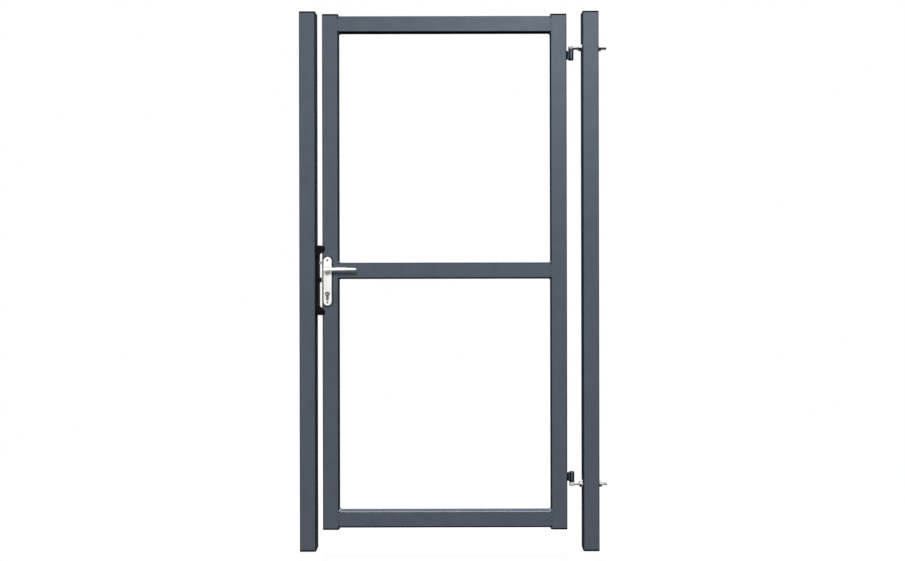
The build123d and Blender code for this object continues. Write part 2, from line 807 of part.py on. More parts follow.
parts = {
    "lock_post": make_lock_post(),
    "hinge_post": make_hinge_post(),
    "lock_post_cap": make_post_cap(lock_post_x),
    "hinge_post_cap": make_post_cap(0),
    "keep_latch_body": make_keep_latch_body(),
    "deadbolt_strike": make_deadbolt_strike(),
    "keep_lower_body": make_keep_lower_body(),
    "keep_upper_stop": make_keep_stop(upper=True),
    "keep_lower_stop": make_keep_stop(upper=False),
    "keep_screws": make_keep_screws(),
    "upper_eye_bolt": make_eye_bolt(upper_rod_height),
    "lower_eye_bolt": make_eye_bolt(lower_rod_height),
    "hinge_nuts": make_hinge_nuts(),
    "hinge_washers": make_hinge_washers(),
    "lock_stile": make_lock_stile(),
    "hinge_stile": make_hinge_stile(),
    "top_rail": make_rail(top_rail_z),
    "middle_rail": make_rail(middle_rail_height),
    "bottom_rail": make_rail(bottom_rail_z),
    "frame_welds": make_frame_welds(),
    "lock_stile_top_cap": make_stile_cap(lock_stile_x, top=True),
    "lock_stile_bottom_cap": make_stile_cap(lock_stile_x, top=False),
    "hinge_stile_top_cap": make_stile_cap(hinge_stile_x, top=True),
    "hinge_stile_bottom_cap": make_stile_cap(hinge_stile_x, top=False),
    "upper_hinge_barrel": make_hinge_barrel(upper=True),
    "lower_hinge_barrel": make_hinge_barrel(upper=False),
    "upper_hinge_pin": make_hinge_pin(upper=True),
    "lower_hinge_pin": make_hinge_pin(upper=False),
    "lock_case": make_lock_case(),
    "lock_case_cover": make_lock_case_cover(),
    "lock_faceplate": make_faceplate(),
    "faceplate_screws": make_faceplate_screws(),
    "latch_bolt": make_latch_bolt(),
    "latch_spring": make_latch_spring(),
    "follower": make_follower(),
    "deadbolt": make_deadbolt(),
    "cylinder_body": make_cylinder_body(),
    "cylinder_fixing_screw": make_fixing_screw(),
    "front_plug": make_plug(-1),
    "rear_plug": make_plug(1),
    "cylinder_cam": make_cam(),
    "front_backplate": make_front_backplate(),
    "rear_backplate": to_rear(make_front_backplate()),
    "plate_screws": make_plate_screws(),
    "front_lever": make_front_lever(),
    "rear_lever": to_rear(make_front_lever()),
    "spindle": spindle_bar(spindle_length, 0),
    "lever_grub_screws": make_grub_screws(),
}

for name, shape in parts.items():
    export_step(shape, f"parts/{name}.step")
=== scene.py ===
"""Wicket gate, dressed for a catalogue picture: powder-coated tube frame with its welds, moulded keep and caps,
satin lever lock and zinc-plated eye-bolt hinges, seen square from the front on white. Lengths are in mm."""
import json
import math

import bmesh
import bpy
from mathutils import Matrix, Vector


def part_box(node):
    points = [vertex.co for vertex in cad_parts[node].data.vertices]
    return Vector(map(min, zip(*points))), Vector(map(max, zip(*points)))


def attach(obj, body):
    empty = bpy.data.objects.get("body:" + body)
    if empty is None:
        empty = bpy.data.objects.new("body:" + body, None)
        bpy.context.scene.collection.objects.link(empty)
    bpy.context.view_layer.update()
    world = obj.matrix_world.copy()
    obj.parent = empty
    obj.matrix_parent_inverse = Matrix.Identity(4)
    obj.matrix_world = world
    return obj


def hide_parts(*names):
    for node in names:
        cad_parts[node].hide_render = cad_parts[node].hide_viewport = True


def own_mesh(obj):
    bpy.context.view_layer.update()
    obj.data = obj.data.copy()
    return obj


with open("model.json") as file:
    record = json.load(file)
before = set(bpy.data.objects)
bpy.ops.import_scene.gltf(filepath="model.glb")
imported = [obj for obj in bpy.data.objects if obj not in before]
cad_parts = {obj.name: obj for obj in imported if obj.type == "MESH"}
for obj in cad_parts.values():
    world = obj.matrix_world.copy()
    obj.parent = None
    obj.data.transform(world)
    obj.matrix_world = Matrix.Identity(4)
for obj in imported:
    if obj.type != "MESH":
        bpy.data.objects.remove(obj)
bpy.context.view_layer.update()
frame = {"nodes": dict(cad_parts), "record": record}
nodes = frame["nodes"]

MM = 0.001

# Meshes
merge_distance = 0.0005
same_place = 0.01
round_columns = 48
rod_columns = 32
crease_angle = 35.0

# Threads and nuts
thread_pitch = 2.0
thread_depth = 1.2
thread_flat = 0.25
thread_columns = 24
thread_merge_distance = 0.005
nut_chamfer_degrees = 30.0
nut_columns = 48
nut_face_share = 0.96
nut_edge = 0.5
nut_bore_chamfer = 0.6

# Eye bolts
pin_clearance = 0.05
eye_edge_radius = 2.0
eye_neck = 7.0
eye_neck_slack = 0.2
eye_neck_taper = 4.0
thread_overlap = 1.0
rod_tip = 2.0
rod_tip_chamfer = 1.2

# Hinge barrels
barrel_edge_radius = 1.6
pin_tip_chamfer = 1.0
tab_thickness = 8.0
tab_inset = 3.0
tab_sink = 2.0
tab_edge_radius = 1.0
barrel_bead_leg = 7.0
barrel_bead_phase = 0.7

# Weld beads; a wander has its share, its length and how far it shifts from bead to bead
bead_leg = 5.0
slim_bead_leg = 2.6
full_bead_leg = 8.0
bead_outline = [(1.0, 0.0), (0.74, 0.2), (0.47, 0.47), (0.2, 0.74), (0.0, 1.0)]
bead_sink = 0.4
bead_overrun = 2.0
bead_step = 0.6
bead_ripple = 2.4
ripple_lag = 0.8
ripple_share = 0.06
bead_wanders = [(0.07, 5.3, 4), (0.04, 2.1, 9)]
bead_end_share = 0.45
bead_end_slope = 0.4
phase_step = 1.37

# Dressed seams, and the lumps at their upper ends; a seam's outline is in mm across and shares of its crown
seam_outline = [(-4.6, -0.4), (-3.2, 0.5), (-1.2, 1.0), (0.8, 1.0), (2.4, 0.5), (3.4, -0.4)]
seam_crown = 0.5
seam_sink = 3.4
seam_short = 7.0
seam_end_slope = 9
seam_end_power = 0.3
seam_wanders = [(0.7, 4.1, 5), (0.4, 1.7, 2)]
seam_lump_share = 0.4
seam_lump_length = 2.3
seam_lump_shift = 7
seam_lump_skew = 3
dome_size = (4.4, 2.6, 3.6)
dome_sink = 1.0
dome_rise = 0.5
weld_crease_angle = 60.0

# Screws with a cross recess
screw_columns = 64
screw_tip = 1.0
recess_arm = 2.3
recess_half_width = 0.55
recess_depth = 1.3
recess_lip = 0.3
recess_lip_depth = 0.05
recess_corner_share = 1.2
least_sine = 0.001
head_edge_radius = 0.5
plate_screw_length = 14.0
plate_screw_head_depth = 1.8
plate_screw_shank = 2.5
plate_screw_proud = 0.2
side_screw_head_depth = 2.0
side_screw_shank_share = 0.6
# Where they stop turning follows their height: in degrees for the plate screws and in radians for the side screws
plate_screw_turn = 20
plate_screw_spread = 50
side_screw_turn = 0.3

# End caps
cap_rim = 6.0
cap_lap = 0.15
cap_edge_radius = 2.0
tube_corner = 4.0

# Keep stops; the nose's arc is in degrees
stop_root = 4.0
stop_root_edge = 1.0
stop_root_overlap = 2.0
stop_fillet = [(0.0, 0.0), (0.25, 1.4), (1.1, 2.9), (2.6, 4.6)]
stop_nose_radius = 12.0
stop_nose_start = -52.0
stop_nose_sweep = 142.0
stop_nose_steps = 12
stop_reach_more = 1.5
stop_stile_gap = 0.5
stop_edge_radius = 1.5

# Lever handles; the arm's sizes are half its height and half its depth
rosette_height = 7.0
rosette_bevel = (1.0, 1.5)
neck_waist_start = 13.0
neck_waist = 8.0
neck_flare = 26.0
flare_steps = 8
neck_front = 9.5
neck_dome = 8.5
dome_steps = 9
arm_root = (7.2, 7.0)
arm_tip = (3.4, 4.6)
arm_rise = 0.6
arm_tip_radius = 3.4
arm_tip_least = 0.12
arm_columns = 32
arm_rings = 40
lever_crease_angle = 40.0

# Grub screws with a hexagon socket
grub_length = 4.0
grub_proud = 0.15
grub_columns = 24
grub_edge = 0.3
socket_share = 0.5

# Latch spring
spring_thickness = 0.8
arch_steps = 24

# Darkening on the powder coat, measured from a lower edge or a plate's rim: none past the first, full within the
# second. It is painted shade on the rails' lower edges, painted shadow around the plates, and a darker band at the
# posts' feet.
post_foot_band = (9.0, 4.0)
rail_lower_edge_shade = (7.0, 5.0)
plate_shadow = (5.5, 2.5)
below_foot = 1.0
# Painted highlight on the coat's up-facing corners: from none to full over this share of the upward normal
highlight_fade = 0.35

# Floor and surroundings
floor_half = 4000.0
floor_centre = (-500.0, 0.0, 0.0)
floor_fade = (900.0, 2600.0)
floor_glow = 0.9
world_light = 0.025

# Picture
image_width = 905
camera_place = (-476.0, -3382.0, 1179.0)
focal_pixels = 906.3
shift_pixels = (9.9, -47.7)
camera_roll = 0.002
sensor_width = 36.0


def linear(hex_colour):
    """An sRGB hex colour as linear RGBA."""
    channels = [int(hex_colour[i:i + 2], 16) / 255 for i in (1, 3, 5)]
    return [c / 12.92 if c <= 0.04045 else ((c + 0.055) / 1.055) ** 2.4 for c in channels] + [1.0]


def per_metre(size_mm):
    """A texture's scale for features of a real size."""
    return 1 / (size_mm * MM)


# Materials
def add(tree, kind, inputs=None, **settings):
    """Adds a node: settings are its own properties, and inputs are values or the sockets that feed it."""
    node = tree.nodes.new("ShaderNode" + kind)
    for name, value in settings.items():
        setattr(node, name, value)
    for name, value in (inputs or {}).items():
        if isinstance(value, bpy.types.NodeSocket):
            tree.links.new(value, node.inputs[name])
        else:
            node.inputs[name].default_value = value
    return node


def new_material(name, **shader_inputs):
    """A material with its shader and its Object coordinates; constant values go on the shader's own sockets."""
    material = bpy.data.materials.new(name)
    material.use_nodes = True
    tree = material.node_tree
    shader = tree.nodes["Principled BSDF"]
    for socket, value in shader_inputs.items():
        shader.inputs[socket.replace("_", " ")].default_value = value
    place = add(tree, "TexCoord").outputs["Object"]
    return material, tree, shader, place


def link_surface(tree, shader, colour, rough, bump):
    """Feeds a shader's colour, its roughness and its fine relief."""
    tree.links.new(colour.outputs[2], shader.inputs["Base Color"])
    tree.links.new(rough.outputs["Result"], shader.inputs["Roughness"])
    tree.links.new(bump.outputs["Normal"], shader.inputs["Normal"])


def powder_coat(name, gloss, highlight_colour, highlight_start, feet):
    """Polyester powder with a fine structure, baked on steel: matt and grained. Rounded corners are painted dark,
    which is painted shade, where the coat also lies thinner; corners that face up get a pale painted highlight
    instead. Undersides, a rim around the handle plates and the rails' lower edges get painted shade, and the posts'
    feet a darker band. Each foot is a lower edge's height and the two heights over which the band there fades in."""
    material, tree, shader, place = new_material(name, Specular_IOR_Level=gloss)
    cloud = add(tree, "TexNoise", {"Vector": place, "Scale": per_metre(40), "Detail": 2.0}).outputs["Fac"]
    # The real grain is about 0.4 mm; it is drawn coarser so that it shows.
    grain = add(tree, "TexNoise", {"Vector": place, "Scale": per_metre(3.2), "Detail": 3.0}).outputs["Fac"]
    both = add(tree, "Math", {0: cloud, 1: grain}, operation="ADD").outputs["Value"]
    tone = add(tree, "MapRange", {"Value": both, "From Min": 0.6, "From Max": 1.4}).outputs["Result"]
    # A corner is where the normal leaves all three axes.
    normal = add(tree, "VectorMath", {0: place.node.outputs["Normal"]}, operation="ABSOLUTE").outputs["Vector"]
    axes = add(tree, "SeparateXYZ", {0: normal}).outputs
    larger = add(tree, "Math", {0: axes["X"], 1: axes["Y"]}, operation="MAXIMUM").outputs["Value"]
    largest = add(tree, "Math", {0: larger, 1: axes["Z"]}, operation="MAXIMUM").outputs["Value"]
    # Rounded corners are painted dark: painted shade, where the coat also lies thinner.
    corner = add(tree, "MapRange", {"Value": largest, "From Min": 0.996, "From Max": 0.93}).outputs["Result"]
    # Corners that face up are painted pale instead: a painted highlight.
    upward = add(tree, "SeparateXYZ", {0: place.node.outputs["Normal"]}).outputs["Z"]
    highlight_range = {"From Min": highlight_start, "From Max": highlight_start + highlight_fade}
    top_highlight = add(tree, "MapRange", {"Value": upward, **highlight_range}).outputs["Result"]
    height = add(tree, "SeparateXYZ", {0: place}).outputs["Z"]
    lower_edge_dark = 0.0
    # Along each lower edge, a darker band: painted shade on the rails' lower edges, and a darker band at the posts'
    # feet.
    for foot, (band_start, band_full) in feet:
        lower_edge_range = {"From Min": (foot + band_start) * MM, "From Max": (foot + band_full) * MM}
        edge = add(tree, "MapRange", {"Value": height, **lower_edge_range}).outputs["Result"]
        above = add(tree, "Math", {0: height, 1: (foot - below_foot) * MM}, operation="GREATER_THAN").outputs["Value"]
        line = add(tree, "Math", {0: edge, 1: above}, operation="MULTIPLY").outputs["Value"]
        lower_edge_dark = add(tree, "Math", {0: line, 1: lower_edge_dark}, operation="MAXIMUM").outputs["Value"]
    # The painted shadow around the plates follows the distance from the plate's middle line.
    low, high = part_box("front_backplate")
    radius = (high.x - low.x) / 2
    half = (high.z - low.z) / 2 - radius
    offset = add(tree, "VectorMath", {0: place, 1: (low + high) / 2}, operation="SUBTRACT").outputs["Vector"]
    apart = add(tree, "VectorMath", {0: offset}, operation="ABSOLUTE").outputs["Vector"]
    sides = add(tree, "SeparateXYZ", {0: apart}).outputs
    past = add(tree, "Math", {0: sides["Z"], 1: half}, operation="SUBTRACT", use_clamp=True).outputs["Value"]
    outward = add(tree, "CombineXYZ", {"X": sides["X"], "Z": past}).outputs["Vector"]
    reach = add(tree, "VectorMath", {0: outward}, operation="LENGTH").outputs["Value"]
    plate_shadow_range = {"From Min": radius + plate_shadow[0] * MM, "From Max": radius + plate_shadow[1] * MM}
    plate_shadow_mask = add(tree, "MapRange", {"Value": reach, **plate_shadow_range}).outputs["Result"]
    # Undersides are painted dark: painted shade.
    under = add(tree, "MapRange", {"Value": upward, "From Min": -0.03, "From Max": -0.2}).outputs["Result"]
    painted_shade = add(tree, "Math", {0: under, 1: plate_shadow_mask}, operation="MAXIMUM").outputs["Value"]
    darkening = add(tree, "Math", {0: lower_edge_dark, 1: painted_shade}, operation="MAXIMUM").outputs["Value"]
    coat = add(tree, "Mix", {0: tone, 6: linear("#4d545c"), 7: linear("#545b64")}, data_type="RGBA").outputs[2]
    rim = add(tree, "Mix", {0: top_highlight, 6: linear("#1c232d"), 7: linear(highlight_colour)}, data_type="RGBA").outputs[2]
    edged = add(tree, "Mix", {0: corner, 6: coat, 7: rim}, data_type="RGBA").outputs[2]
    colour = add(tree, "Mix", {0: darkening, 6: edged, 7: linear("#141a22")}, data_type="RGBA")
    rough = add(tree, "MapRange", {"Value": grain, "To Min": 0.35, "To Max": 0.6})
    bump = add(tree, "Bump", {"Height": grain, "Distance": 0.08 * MM, "Strength": 0.4})
    link_surface(tree, shader, colour, rough, bump)
    return material


def moulded_cap_plastic():
    """Black polyethylene from a grained mould: matt, a little brown, with a dusty bloom."""
    material, tree, shader, place = new_material("moulded_cap_plastic", Specular_IOR_Level=0.02)
    bloom = add(tree, "TexNoise", {"Vector": place, "Scale": per_metre(14), "Detail": 2.0}).outputs["Fac"]
    grain = add(tree, "TexNoise", {"Vector": place, "Scale": per_metre(1.6), "Detail": 3.0}).outputs["Fac"]
    colour = add(tree, "Mix", {0: bloom, 6: linear("#050404"), 7: linear("#100e0d")}, data_type="RGBA")
    rough = add(tree, "MapRange", {"Value": bloom, "To Min": 0.45, "To Max": 0.7})
    bump = add(tree, "Bump", {"Height": grain, "Distance": 0.08 * MM, "Strength": 0.4})
    link_surface(tree, shader, colour, rough, bump)
    return material


def glass_filled_nylon():
    """Black polyamide with glass fibre: short pale streaks in a near-black ground, and a dry low gloss."""
    material, tree, shader, place = new_material("glass_filled_nylon", Specular_IOR_Level=0.03)
    stretched = add(tree, "Mapping", {"Vector": place, "Scale": (1.0, 1.0, 0.3)}).outputs["Vector"]
    fibre = add(tree, "TexNoise", {"Vector": stretched, "Scale": per_metre(1.4), "Detail": 4.0}).outputs["Fac"]
    colour = add(tree, "Mix", {0: fibre, 6: linear("#050505"), 7: linear("#111111")}, data_type="RGBA")
    rough = add(tree, "MapRange", {"Value": fibre, "To Min": 0.42, "To Max": 0.62})
    bump = add(tree, "Bump", {"Height": fibre, "Distance": 0.05 * MM, "Strength": 0.3})
    link_surface(tree, shader, colour, rough, bump)
    return material


def passivated_zinc():
    """Zinc-plated steel under a milky passivated film, with painted shade on its undersides, which reaches further up
    the sides on the upper hinge."""
    material, tree, shader, place = new_material("passivated_zinc", Metallic=0.05, Specular_IOR_Level=0.15)
    cloud = add(tree, "TexNoise", {"Vector": place, "Scale": per_metre(7), "Detail": 3.0}).outputs["Fac"]
    grain = add(tree, "TexNoise", {"Vector": place, "Scale": per_metre(1.1), "Detail": 3.0}).outputs["Fac"]
    tone = add(tree, "MapRange", {"Value": cloud, "From Min": 0.3, "From Max": 0.7}).outputs["Result"]
    film = add(tree, "Mix", {0: tone, 6: linear("#b9b7b1"), 7: linear("#d2d2d0")}, data_type="RGBA").outputs[2]
    upward = add(tree, "SeparateXYZ", {0: place.node.outputs["Normal"]}).outputs["Z"]
    height = add(tree, "SeparateXYZ", {0: place}).outputs["Z"]
    # Above 1.3 m, on the upper hinge, the painted shade reaches further up the sides.
    upper_hinge_shade = add(tree, "MapRange", {"Value": height, "From Min": 1.3, "From Max": 1.5, "To Max": 0.35})
    shade_facing = add(tree, "Math", {0: upward, 1: upper_hinge_shade.outputs["Result"]}, operation="SUBTRACT").outputs["Value"]
    # Undersides are painted dark: painted shade.
    zinc_underside_shade = add(tree, "MapRange", {"Value": shade_facing, "From Min": -0.05, "From Max": -0.5}).outputs["Result"]
    colour = add(tree, "Mix", {0: zinc_underside_shade, 6: film, 7: linear("#2a2520")}, data_type="RGBA")
    rough = add(tree, "MapRange", {"Value": grain, "To Min": 0.2, "To Max": 0.4})
    bump = add(tree, "Bump", {"Height": grain, "Distance": 0.02 * MM, "Strength": 0.2})
    link_surface(tree, shader, colour, rough, bump)
    return material


def silver_lacquered_aluminium():
    """Aluminium, blasted and lacquered pale silver: mostly a paint's even tone, with a metal's soft reflection."""
    gloss = {"Metallic": 0.18, "Specular_IOR_Level": 0.35}
    material, tree, shader, place = new_material("silver_lacquered_aluminium", **gloss)
    cloud = add(tree, "TexNoise", {"Vector": place, "Scale": per_metre(12), "Detail": 2.0}).outputs["Fac"]
    # Blasting leaves pits of about 0.1 mm; they are drawn coarser so that they show.
    pits = add(tree, "TexNoise", {"Vector": place, "Scale": per_metre(0.9), "Detail": 3.0}).outputs["Fac"]
    colour = add(tree, "Mix", {0: cloud, 6: linear("#dadad8"), 7: linear("#e3e2e0")}, data_type="RGBA")
    rough = add(tree, "MapRange", {"Value": pits, "To Min": 0.34, "To Max": 0.5})
    bump = add(tree, "Bump", {"Height": pits, "Distance": 0.02 * MM, "Strength": 0.25})
    link_surface(tree, shader, colour, rough, bump)
    return material


def brushed_steel(name, dark, light, rough_low, rough_high):
    """Steel brushed lengthwise: fine bright lines along Z that stretch each highlight across them."""
    material, tree, shader, place = new_material(name, Metallic=1.0)
    lines = add(tree, "Mapping", {"Vector": place, "Scale": (1.0, 1.0, 0.04)}).outputs["Vector"]
    brush = add(tree, "TexNoise", {"Vector": lines, "Scale": per_metre(0.8), "Detail": 3.0}).outputs["Fac"]
    colour = add(tree, "Mix", {0: brush, 6: linear(dark), 7: linear(light)}, data_type="RGBA")
    rough = add(tree, "MapRange", {"Value": brush, "To Min": rough_low, "To Max": rough_high})
    bump = add(tree, "Bump", {"Height": brush, "Distance": 0.02 * MM, "Strength": 0.25})
    link_surface(tree, shader, colour, rough, bump)
    return material


def pale_centred_nickel():
    """Nickel plate on the plug: pale around the keyway and dark out to the rim."""
    material, tree, shader, place = new_material("pale_centred_nickel", Metallic=1.0)
    low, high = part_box("front_plug")
    centre = Vector(((low.x + high.x) / 2, 0, (low.z + high.z) / 2))
    flat = add(tree, "VectorMath", {0: place, 1: (1, 0, 1)}, operation="MULTIPLY").outputs["Vector"]
    reach = add(tree, "VectorMath", {0: flat, 1: centre}, operation="DISTANCE").outputs["Value"]
    brush = add(tree, "TexNoise", {"Vector": place, "Scale": per_metre(0.8), "Detail": 3.0}).outputs["Fac"]
    ragged = add(tree, "Math", {0: brush, 1: 1.2 * MM, 2: reach}, operation="MULTIPLY_ADD").outputs["Value"]
    pale_centre = add(tree, "MapRange", {"Value": ragged, "From Min": 5.2 * MM, "From Max": 3.6 * MM}).outputs["Result"]
    colour = add(tree, "Mix", {0: pale_centre, 6: linear("#1f1e1d"), 7: linear("#bdbab4")}, data_type="RGBA")
    rough = add(tree, "MapRange", {"Value": brush, "To Min": 0.25, "To Max": 0.38})
    bump = add(tree, "Bump", {"Height": brush, "Distance": 0.02 * MM, "Strength": 0.2})
    link_surface(tree, shader, colour, rough, bump)
    return material


def dress(node_name, material):
    """Gives a CAD node its finish."""
    for material_slot in nodes[node_name].material_slots:
        material_slot.material = material


finishes = {
    # The frame's coat, with a pale painted highlight on up-facing corners and a darker band at the posts' feet
    "anthracite_powder_coat": powder_coat("anthracite_powder_coat", 0.0, "#6a717a", 0.35, [(0.0, post_foot_band)]),
    "black_cap_plastic": moulded_cap_plastic(),
    "black_keep": glass_filled_nylon(),
    "zinc_plated_steel": passivated_zinc(),
    "satin_aluminium": silver_lacquered_aluminium(),
    # Pale and clear
    "stainless_steel": brushed_steel("brushed_stainless", "#7c7b78", "#9c9b98", 0.28, 0.4),
    # Dark and a little warm
    "nickel_plate": brushed_steel("satin_nickel", "#484745", "#5e5d5a", 0.3, 0.42),
    # Pale and dull
    "lock_steel": brushed_steel("dull_zinc_steel", "#97989a", "#b9babb", 0.35, 0.5),
    # Dark and bluish from tempering
    "spring_steel": brushed_steel("blued_spring_steel", "#3a3c42", "#4a4d55", 0.3, 0.4),
}
node_slot = {part["node"]: part["material_slot"] for part in frame["record"]["subparts"]}
for cad_node in nodes:
    dress(cad_node, finishes[node_slot[cad_node]])
dress("latch_bolt", finishes["zinc_plated_steel"])
plug_nickel = pale_centred_nickel()
for plug in ["front_plug", "rear_plug"]:
    dress(plug, plug_nickel)
# The bottom rail's upper corner gets a pale painted highlight and the middle rail's a dim one; both rails get painted
# shade along their lower edges.
for rail_name, coat_name, rail_highlight_colour in [("middle_rail", "dim_highlight_powder_coat", "#4a515a"),
                                         ("bottom_rail", "bright_highlight_powder_coat", "#8b929b")]:
    rail_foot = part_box(rail_name)[0].z / MM
    dress(rail_name, powder_coat(coat_name, 0.0, rail_highlight_colour, 0.35, [(rail_foot, rail_lower_edge_shade)]))
# Powder that has flowed over the welds: a little gloss, and a painted highlight on their tops
flowed_powder_coat = powder_coat("flowed_powder_coat", 0.05, "#7f868f", 0.05, [])
# Dull, so that the plate screws show as dark points
dull_screw_steel = brushed_steel("dull_screw_steel", "#4c4a47", "#6e6c68", 0.35, 0.5)


# Making pieces
def box_mm(node):
    """A node's lowest and highest corner, in mm."""
    low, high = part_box(node)
    return low / MM, high / MM


def turn(profile, columns):
    """A closed shape spun about Z from (radius, height) points."""
    bm = bmesh.new()
    verts = [bm.verts.new((radius, 0, height)) for radius, height in profile]
    edges = [bm.edges.new(pair) for pair in zip(verts, verts[1:])]
    full = 2 * math.pi
    bmesh.ops.spin(bm, geom=verts + edges, axis=(0, 0, 1), angle=full, steps=columns, use_merge=True)
    bmesh.ops.remove_doubles(bm, verts=bm.verts, dist=merge_distance)
    bmesh.ops.recalc_face_normals(bm, faces=bm.faces)
    return bm


def sweep(outline, length, steps):
    """A closed bar along +Z from an outline of (x, y) points."""
    bm = bmesh.new()
    verts = [bm.verts.new((x, y, 0)) for x, y in outline]
    edges = [bm.edges.new(pair) for pair in zip(verts, verts[1:] + verts[:1])]
    bmesh.ops.spin(bm, geom=verts + edges, axis=(0, 0, 1), dvec=(0, 0, length / steps), angle=0, steps=steps)
    bmesh.ops.remove_doubles(bm, verts=bm.verts, dist=merge_distance)
    bmesh.ops.holes_fill(bm, edges=[edge for edge in bm.edges if edge.is_boundary], sides=0)
    bmesh.ops.recalc_face_normals(bm, faces=bm.faces)
    return bm


def rounded_block(size, radius):
    """A block about the origin with all its edges rounded."""
    bm = bmesh.new()
    bmesh.ops.create_cube(bm, size=1.0)
    bmesh.ops.scale(bm, vec=size, verts=bm.verts)
    bmesh.ops.bevel(bm, geom=bm.edges[:], offset=radius, affect="EDGES", segments=3, profile=0.5, material=-1)
    bmesh.ops.recalc_face_normals(bm, faces=bm.faces)
    return bm


def gather(shapes):
    """One bmesh of several, each with the matrix that puts it in place, faces outward."""
    whole = bmesh.new()
    for shape, place in shapes:
        bmesh.ops.transform(shape, matrix=place, verts=shape.verts)
        mesh = bpy.data.meshes.new("shape")
        shape.to_mesh(mesh)
        shape.free()
        whole.from_mesh(mesh)
        bpy.data.meshes.remove(mesh)
    bmesh.ops.recalc_face_normals(whole, faces=whole.faces)
    return whole


def make_piece(name, bm, slot, body, replaced, crease_degrees=crease_angle, finish=None):
    """Turns a bmesh in mm into a piece with a finish, smooth up to a crease angle, that rides on a body."""
    bmesh.ops.scale(bm, vec=(MM, MM, MM), verts=bm.verts)
    mesh = bpy.data.meshes.new(name)
    bm.to_mesh(mesh)
    bm.free()
    mesh.materials.append(finish or finishes[slot])
    mesh.shade_smooth()
    mesh.set_sharp_from_angle(angle=math.radians(crease_degrees))
    piece = bpy.data.objects.new(name, mesh)
    bpy.context.scene.collection.objects.link(piece)
    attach(piece, body)
    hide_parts(*replaced)
    return piece


def along(axis, place):
    """A matrix that turns +Z to an axis and moves the origin to a place."""
    turned = Vector((0, 0, 1)).rotation_difference(Vector(axis)).to_matrix().to_4x4()
    return Matrix.Translation(place) @ turned


def quarter(centre_radius, centre_height, radius, start_degrees, steps=3):
    """Points of a quarter circle in a turned profile, anticlockwise from an angle."""
    angles = [math.radians(start_degrees + step * 90 / steps) for step in range(steps + 1)]
    return [(centre_radius + radius * math.cos(a), centre_height + radius * math.sin(a)) for a in angles]


# Hinges: eye bolts with real threads, chamfered nuts, and barrels with their pins
def screw_thread(diameter, length):
    """A screw thread along +Z: one pitch of flanks swept up as a helix, then cut square at both ends."""
    crest = diameter / 2
    root = crest - thread_depth
    middle = thread_pitch / 2
    profile = [(root, 0), (root, thread_flat), (crest, middle - thread_flat / 2),
               (crest, middle + thread_flat / 2), (root, thread_pitch - thread_flat), (root, thread_pitch)]
    bm = bmesh.new()
    verts = [bm.verts.new((radius, 0, height - thread_pitch)) for radius, height in profile]
    edges = [bm.edges.new(pair) for pair in zip(verts, verts[1:])]
    turns = math.ceil(length / thread_pitch) + 1
    rise = (0, 0, thread_pitch / thread_columns)
    bmesh.ops.spin(bm, geom=verts + edges, axis=(0, 0, 1), dvec=rise, angle=2 * math.pi * turns,
                   steps=thread_columns * turns)
    bmesh.ops.remove_doubles(bm, verts=bm.verts, dist=thread_merge_distance)
    for height, side in [(0, -1), (length, 1)]:
        geom = bm.verts[:] + bm.edges[:] + bm.faces[:]
        bmesh.ops.bisect_plane(bm, geom=geom, plane_co=(0, 0, height), plane_no=(0, 0, side), clear_outer=True)
    bmesh.ops.holes_fill(bm, edges=[edge for edge in bm.edges if edge.is_boundary], sides=0)
    bmesh.ops.recalc_face_normals(bm, faces=bm.faces)
    return bm


def make_eye_bolt(node):
    """A forged eye on a plain neck, then thread to a chamfered end."""
    low, high = box_mm(node)
    eye = (high.y - low.y) / 2
    rod = (high.z - low.z) / 2
    pin_low, pin_high = box_mm(node.replace("eye_bolt", "hinge_pin"))
    bore = (pin_high.x - pin_low.x) / 2 + pin_clearance
    centre = Vector((low.x + eye, 0, (low.z + high.z) / 2))
    length = high.x - centre.x
    neck_end = eye + eye_neck
    tip_start = length - rod_tip
    root = rod - thread_depth
    edge = eye_edge_radius
    ring = (quarter(eye - edge, rod - edge, edge, 0) + quarter(bore + edge, rod - edge, edge, 90)
            + quarter(bore + edge, edge - rod, edge, 180) + quarter(eye - edge, edge - rod, edge, 270))
    wall = (eye + bore) / 2
    plain = rod - eye_neck_slack
    neck_root = neck_end + thread_overlap
    neck = [(0, wall), (plain, wall), (plain, eye), (root, neck_end - eye_neck_taper), (root, neck_root),
            (0, neck_root)]
    tip_root = tip_start - thread_overlap
    end = [(0, tip_root), (root, tip_root), (root, tip_start), (root - rod_tip_chamfer, length), (0, length)]
    rod_place = along((1, 0, 0), centre)
    bm = gather([
        (turn(ring + ring[:1], round_columns), Matrix.Translation(centre)),
        (turn(neck, rod_columns), rod_place),
        (screw_thread(2 * rod, tip_start - neck_end), rod_place @ Matrix.Translation((0, 0, neck_end))),
        (turn(end, rod_columns), rod_place),
    ])
    make_piece("forged_" + node, bm, "zinc_plated_steel", "posts", [node])


def hex_nut(across, thickness, bore):
    """A nut with both faces chamfered: a turned ring whose outside is drawn out to a hexagon."""
    outside = across / 2
    face = outside * nut_face_share
    drop = math.tan(math.radians(nut_chamfer_degrees))
    sixth = math.pi / 3
    mouth = bore + nut_bore_chamfer
    profile = [(mouth, 0), (face, 0), (outside, nut_edge), (outside, thickness - nut_edge), (face, thickness),
               (mouth, thickness), (bore, thickness - nut_bore_chamfer), (bore, nut_bore_chamfer), (mouth, 0)]
    bm = turn(profile, nut_columns)
    for vert in bm.verts:
        if abs(vert.co.xy.length - outside) < same_place:
            angle = math.atan2(vert.co.y, vert.co.x)
            reach = outside / math.cos(angle % sixth - sixth / 2)
            vert.co.xy *= reach / outside
            fall = (reach - face) * drop
            vert.co.z = fall if vert.co.z < thickness / 2 else thickness - fall
    return bm


